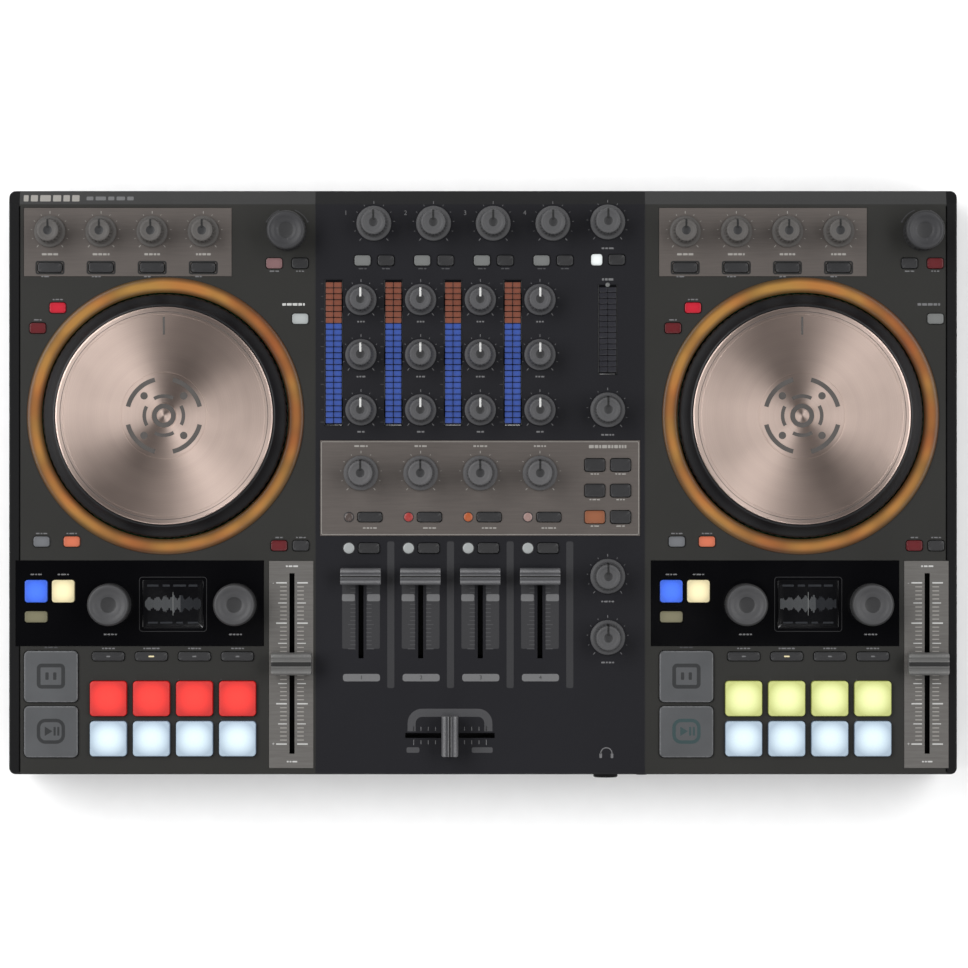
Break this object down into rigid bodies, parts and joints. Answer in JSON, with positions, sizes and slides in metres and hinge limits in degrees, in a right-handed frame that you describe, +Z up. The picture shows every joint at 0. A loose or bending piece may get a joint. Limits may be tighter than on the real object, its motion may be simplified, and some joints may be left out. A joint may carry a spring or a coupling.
{
  "type": "dj controller",
  "caption": "Table-top DJ controller: two decks with turning jog wheels, pads and displays either side of a mixer with knobs, faders and level meters.",
  "frame": {"origin": "on the table, under the middle of the outline", "axes": "+X to the player's right, +Y from the player towards the rear panel, +Z up"},
  "size_m": [0.588, 0.365, 0.072],
  "materials": {
    "base_plastic": "fine moulded texture, black",
    "panel_plastic": "charcoal, fine matt texture",
    "inlay": "brushed grey-brown plates, and gloss black strips round the displays",
    "light_ring": "translucent ring, lit amber from below",
    "display_glass": "smoked window over a lit display or meter",
    "circuit_board": "green solder mask",
    "component_metal": "pressed steel shells",
    "drive_plastic": "glass-filled nylon",
    "foot_rubber": "soft black rubber",
    "screw_steel": "black oxide",
    "socket_metal": "black bodies with plated barrels and nuts",
    "jog_aluminium": "radially brushed, champagne tint, in a black rim",
    "pad_silicone": "translucent silicone, lit from below",
    "button_plastic": "dark translucent caps, some lit",
    "fader_cap": "fine matt texture, pale line across the top",
    "encoder_rubber": "soft-touch, knurled side",
    "knob_rubber": "soft-touch, pale pointer line"
  },
  "bodies": {
    "case": {"bottom_case": "base_plastic", "top_case": "panel_plastic", "surface_inlays": "inlay", "jog_light_rings": "light_ring", "meters_and_displays": "display_glass", "circuit_boards": "circuit_board", "potentiometer_bodies": "component_metal", "jog_drives": "drive_plastic", "rubber_feet": "foot_rubber", "case_screws": "screw_steel", "sockets": "socket_metal"},
    "jog_wheel_left": {"jog_wheel_left": "jog_aluminium"},
    "jog_wheel_right": {"jog_wheel_right": "jog_aluminium"},
    "tempo_fader_left": {"tempo_fader_left": "fader_cap"},
    "tempo_fader_right": {"tempo_fader_right": "fader_cap"},
    "channel_fader_1": {"channel_fader_1": "fader_cap"},
    "channel_fader_2": {"channel_fader_2": "fader_cap"},
    "channel_fader_3": {"channel_fader_3": "fader_cap"},
    "channel_fader_4": {"channel_fader_4": "fader_cap"},
    "crossfader": {"crossfader": "fader_cap"},
    "performance_pads": {"performance_pads": "pad_silicone"},
    "push_buttons": {"push_buttons": "button_plastic"},
    "browse_encoder_left": {"browse_encoder_left": "encoder_rubber"},
    "browse_encoder_right": {"browse_encoder_right": "encoder_rubber"},
    "move_encoder_left": {"move_encoder_left": "encoder_rubber"},
    "loop_encoder_left": {"loop_encoder_left": "encoder_rubber"},
    "move_encoder_right": {"move_encoder_right": "encoder_rubber"},
    "loop_encoder_right": {"loop_encoder_right": "encoder_rubber"},
    "main_volume_knob": {"main_volume_knob": "knob_rubber"},
    "booth_volume_knob": {"booth_volume_knob": "knob_rubber"},
    "cue_mix_knob": {"cue_mix_knob": "knob_rubber"},
    "cue_volume_knob": {"cue_volume_knob": "knob_rubber"},
    "high_eq_knob_1": {"high_eq_knob_1": "knob_rubber"},
    "high_eq_knob_2": {"high_eq_knob_2": "knob_rubber"},
    "high_eq_knob_3": {"high_eq_knob_3": "knob_rubber"},
    "high_eq_knob_4": {"high_eq_knob_4": "knob_rubber"},
    "filter_knob_1": {"filter_knob_1": "knob_rubber"},
    "filter_knob_2": {"filter_knob_2": "knob_rubber"},
    "filter_knob_3": {"filter_knob_3": "knob_rubber"},
    "filter_knob_4": {"filter_knob_4": "knob_rubber"},
    "effect_knob_left_1": {"effect_knob_left_1": "knob_rubber"},
    "effect_knob_left_2": {"effect_knob_left_2": "knob_rubber"},
    "effect_knob_left_3": {"effect_knob_left_3": "knob_rubber"},
    "effect_knob_left_4": {"effect_knob_left_4": "knob_rubber"},
    "effect_knob_right_1": {"effect_knob_right_1": "knob_rubber"},
    "effect_knob_right_2": {"effect_knob_right_2": "knob_rubber"},
    "effect_knob_right_3": {"effect_knob_right_3": "knob_rubber"},
    "effect_knob_right_4": {"effect_knob_right_4": "knob_rubber"},
    "gain_knob_1": {"gain_knob_1": "knob_rubber"},
    "gain_knob_2": {"gain_knob_2": "knob_rubber"},
    "gain_knob_3": {"gain_knob_3": "knob_rubber"},
    "gain_knob_4": {"gain_knob_4": "knob_rubber"},
    "mid_eq_knob_1": {"mid_eq_knob_1": "knob_rubber"},
    "mid_eq_knob_2": {"mid_eq_knob_2": "knob_rubber"},
    "mid_eq_knob_3": {"mid_eq_knob_3": "knob_rubber"},
    "mid_eq_knob_4": {"mid_eq_knob_4": "knob_rubber"},
    "low_eq_knob_1": {"low_eq_knob_1": "knob_rubber"},
    "low_eq_knob_2": {"low_eq_knob_2": "knob_rubber"},
    "low_eq_knob_3": {"low_eq_knob_3": "knob_rubber"},
    "low_eq_knob_4": {"low_eq_knob_4": "knob_rubber"}
  },
  "joints": [
    {"name": "jog_wheel_left_spin", "type": "hinge", "parent": "case", "child": "jog_wheel_left", "pos_m": [-0.197, 0.0428, 0.06], "axis": [0, 0, 1], "continuous": true},
    {"name": "jog_wheel_right_spin", "type": "hinge", "parent": "case", "child": "jog_wheel_right", "pos_m": [0.197, 0.0428, 0.06], "axis": [0, 0, 1], "continuous": true},
    {"name": "tempo_fader_left_slide", "type": "slide", "parent": "case", "child": "tempo_fader_left", "axis": [0, 1, 0], "range_m": [-0.05, 0.05]},
    {"name": "tempo_fader_right_slide", "type": "slide", "parent": "case", "child": "tempo_fader_right", "axis": [0, 1, 0], "range_m": [-0.05, 0.05]},
    {"name": "channel_fader_1_slide", "type": "slide", "parent": "case", "child": "channel_fader_1", "axis": [0, -1, 0], "range_m": [0, 0.045]},
    {"name": "channel_fader_2_slide", "type": "slide", "parent": "case", "child": "channel_fader_2", "axis": [0, -1, 0], "range_m": [0, 0.045]},
    {"name": "channel_fader_3_slide", "type": "slide", "parent": "case", "child": "channel_fader_3", "axis": [0, -1, 0], "range_m": [0, 0.045]},
    {"name": "channel_fader_4_slide", "type": "slide", "parent": "case", "child": "channel_fader_4", "axis": [0, -1, 0], "range_m": [0, 0.045]},
    {"name": "crossfader_slide", "type": "slide", "parent": "case", "child": "crossfader", "axis": [1, 0, 0], "range_m": [-0.0225, 0.0225]},
    {"name": "performance_pads_press", "type": "slide", "parent": "case", "child": "performance_pads", "axis": [0, 0, -1], "range_m": [0, 0.0012], "stiffness_N_per_m": 2500, "springref_m": -0.0008},
    {"name": "push_buttons_press", "type": "slide", "parent": "case", "child": "push_buttons", "axis": [0, 0, -1], "range_m": [0, 0.0012], "stiffness_N_per_m": 2500, "springref_m": -0.0008},
    {"name": "browse_encoder_left_spin", "type": "hinge", "parent": "case", "child": "browse_encoder_left", "pos_m": [-0.1215, 0.1572, 0.06], "axis": [0, 0, 1], "continuous": true},
    {"name": "browse_encoder_right_spin", "type": "hinge", "parent": "case", "child": "browse_encoder_right", "pos_m": [0.2725, 0.1572, 0.06], "axis": [0, 0, 1], "continuous": true},
    {"name": "move_encoder_left_spin", "type": "hinge", "parent": "case", "child": "move_encoder_left", "pos_m": [-0.2312, -0.074, 0.06], "axis": [0, 0, 1], "continuous": true},
    {"name": "loop_encoder_left_spin", "type": "hinge", "parent": "case", "child": "loop_encoder_left", "pos_m": [-0.1535, -0.074, 0.06], "axis": [0, 0, 1], "continuous": true},
    {"name": "move_encoder_right_spin", "type": "hinge", "parent": "case", "child": "move_encoder_right", "pos_m": [0.1628, -0.074, 0.06], "axis": [0, 0, 1], "continuous": true},
    {"name": "loop_encoder_right_spin", "type": "hinge", "parent": "case", "child": "loop_encoder_right", "pos_m": [0.2405, -0.074, 0.06], "axis": [0, 0, 1], "continuous": true},
    {"name": "main_volume_turn", "type": "hinge", "parent": "case", "child": "main_volume_knob", "pos_m": [0.0773, 0.163, 0.06], "axis": [0, 0, 1], "range_deg": [-140, 140]},
    {"name": "booth_volume_turn", "type": "hinge", "parent": "case", "child": "booth_volume_knob", "pos_m": [0.0773, 0.0466, 0.06], "axis": [0, 0, 1], "range_deg": [-140, 140]},
    {"name": "cue_mix_turn", "type": "hinge", "parent": "case", "child": "cue_mix_knob", "pos_m": [0.0773, -0.0566, 0.06], "axis": [0, 0, 1], "range_deg": [-140, 140]},
    {"name": "cue_volume_turn", "type": "hinge", "parent": "case", "child": "cue_volume_knob", "pos_m": [0.0773, -0.0945, 0.06], "axis": [0, 0, 1], "range_deg": [-140, 140]},
    {"name": "high_eq_1_turn", "type": "hinge", "parent": "case", "child": "high_eq_knob_1", "pos_m": [-0.0757, 0.1149, 0.06], "axis": [0, 0, 1], "range_deg": [-140, 140]},
    {"name": "high_eq_2_turn", "type": "hinge", "parent": "case", "child": "high_eq_knob_2", "pos_m": [-0.0387, 0.1149, 0.06], "axis": [0, 0, 1], "range_deg": [-140, 140]},
    {"name": "high_eq_3_turn", "type": "hinge", "parent": "case", "child": "high_eq_knob_3", "pos_m": [-0.0017, 0.1149, 0.06], "axis": [0, 0, 1], "range_deg": [-140, 140]},
    {"name": "high_eq_4_turn", "type": "hinge", "parent": "case", "child": "high_eq_knob_4", "pos_m": [0.0353, 0.1149, 0.06], "axis": [0, 0, 1], "range_deg": [-140, 140]},
    {"name": "filter_1_turn", "type": "hinge", "parent": "case", "child": "filter_knob_1", "pos_m": [-0.0757, 0.0074, 0.06], "axis": [0, 0, 1], "range_deg": [-140, 140]},
    {"name": "filter_2_turn", "type": "hinge", "parent": "case", "child": "filter_knob_2", "pos_m": [-0.0387, 0.0074, 0.06], "axis": [0, 0, 1], "range_deg": [-140, 140]},
    {"name": "filter_3_turn", "type": "hinge", "parent": "case", "child": "filter_knob_3", "pos_m": [-0.0017, 0.0074, 0.06], "axis": [0, 0, 1], "range_deg": [-140, 140]},
    {"name": "filter_4_turn", "type": "hinge", "parent": "case", "child": "filter_knob_4", "pos_m": [0.0353, 0.0074, 0.06], "axis": [0, 0, 1], "range_deg": [-140, 140]},
    {"name": "effect_left_1_turn", "type": "hinge", "parent": "case", "child": "effect_knob_left_1", "pos_m": [-0.2686, 0.1572, 0.06], "axis": [0, 0, 1], "range_deg": [-140, 140]},
    {"name": "effect_left_2_turn", "type": "hinge", "parent": "case", "child": "effect_knob_left_2", "pos_m": [-0.2369, 0.1572, 0.06], "axis": [0, 0, 1], "range_deg": [-140, 140]},
    {"name": "effect_left_3_turn", "type": "hinge", "parent": "case", "child": "effect_knob_left_3", "pos_m": [-0.2052, 0.1572, 0.06], "axis": [0, 0, 1], "range_deg": [-140, 140]},
    {"name": "effect_left_4_turn", "type": "hinge", "parent": "case", "child": "effect_knob_left_4", "pos_m": [-0.1735, 0.1572, 0.06], "axis": [0, 0, 1], "range_deg": [-140, 140]},
    {"name": "effect_right_1_turn", "type": "hinge", "parent": "case", "child": "effect_knob_right_1", "pos_m": [0.1254, 0.1572, 0.06], "axis": [0, 0, 1], "range_deg": [-140, 140]},
    {"name": "effect_right_2_turn", "type": "hinge", "parent": "case", "child": "effect_knob_right_2", "pos_m": [0.1571, 0.1572, 0.06], "axis": [0, 0, 1], "range_deg": [-140, 140]},
    {"name": "effect_right_3_turn", "type": "hinge", "parent": "case", "child": "effect_knob_right_3", "pos_m": [0.1888, 0.1572, 0.06], "axis": [0, 0, 1], "range_deg": [-140, 140]},
    {"name": "effect_right_4_turn", "type": "hinge", "parent": "case", "child": "effect_knob_right_4", "pos_m": [0.2205, 0.1572, 0.06], "axis": [0, 0, 1], "range_deg": [-140, 140]},
    {"name": "gain_1_turn", "type": "hinge", "parent": "case", "child": "gain_knob_1", "pos_m": [-0.0677, 0.1622, 0.06], "axis": [0, 0, 1], "range_deg": [-140, 140]},
    {"name": "gain_2_turn", "type": "hinge", "parent": "case", "child": "gain_knob_2", "pos_m": [-0.0307, 0.1622, 0.06], "axis": [0, 0, 1], "range_deg": [-140, 140]},
    {"name": "gain_3_turn", "type": "hinge", "parent": "case", "child": "gain_knob_3", "pos_m": [0.0063, 0.1622, 0.06], "axis": [0, 0, 1], "range_deg": [-140, 140]},
    {"name": "gain_4_turn", "type": "hinge", "parent": "case", "child": "gain_knob_4", "pos_m": [0.0433, 0.1622, 0.06], "axis": [0, 0, 1], "range_deg": [-140, 140]},
    {"name": "mid_eq_1_turn", "type": "hinge", "parent": "case", "child": "mid_eq_knob_1", "pos_m": [-0.0757, 0.0808, 0.06], "axis": [0, 0, 1], "range_deg": [-140, 140]},
    {"name": "mid_eq_2_turn", "type": "hinge", "parent": "case", "child": "mid_eq_knob_2", "pos_m": [-0.0387, 0.0808, 0.06], "axis": [0, 0, 1], "range_deg": [-140, 140]},
    {"name": "mid_eq_3_turn", "type": "hinge", "parent": "case", "child": "mid_eq_knob_3", "pos_m": [-0.0017, 0.0808, 0.06], "axis": [0, 0, 1], "range_deg": [-140, 140]},
    {"name": "mid_eq_4_turn", "type": "hinge", "parent": "case", "child": "mid_eq_knob_4", "pos_m": [0.0353, 0.0808, 0.06], "axis": [0, 0, 1], "range_deg": [-140, 140]},
    {"name": "low_eq_1_turn", "type": "hinge", "parent": "case", "child": "low_eq_knob_1", "pos_m": [-0.0757, 0.0466, 0.06], "axis": [0, 0, 1], "range_deg": [-140, 140]},
    {"name": "low_eq_2_turn", "type": "hinge", "parent": "case", "child": "low_eq_knob_2", "pos_m": [-0.0387, 0.0466, 0.06], "axis": [0, 0, 1], "range_deg": [-140, 140]},
    {"name": "low_eq_3_turn", "type": "hinge", "parent": "case", "child": "low_eq_knob_3", "pos_m": [-0.0017, 0.0466, 0.06], "axis": [0, 0, 1], "range_deg": [-140, 140]},
    {"name": "low_eq_4_turn", "type": "hinge", "parent": "case", "child": "low_eq_knob_4", "pos_m": [0.0353, 0.0466, 0.06], "axis": [0, 0, 1], "range_deg": [-140, 140]}
  ]
}
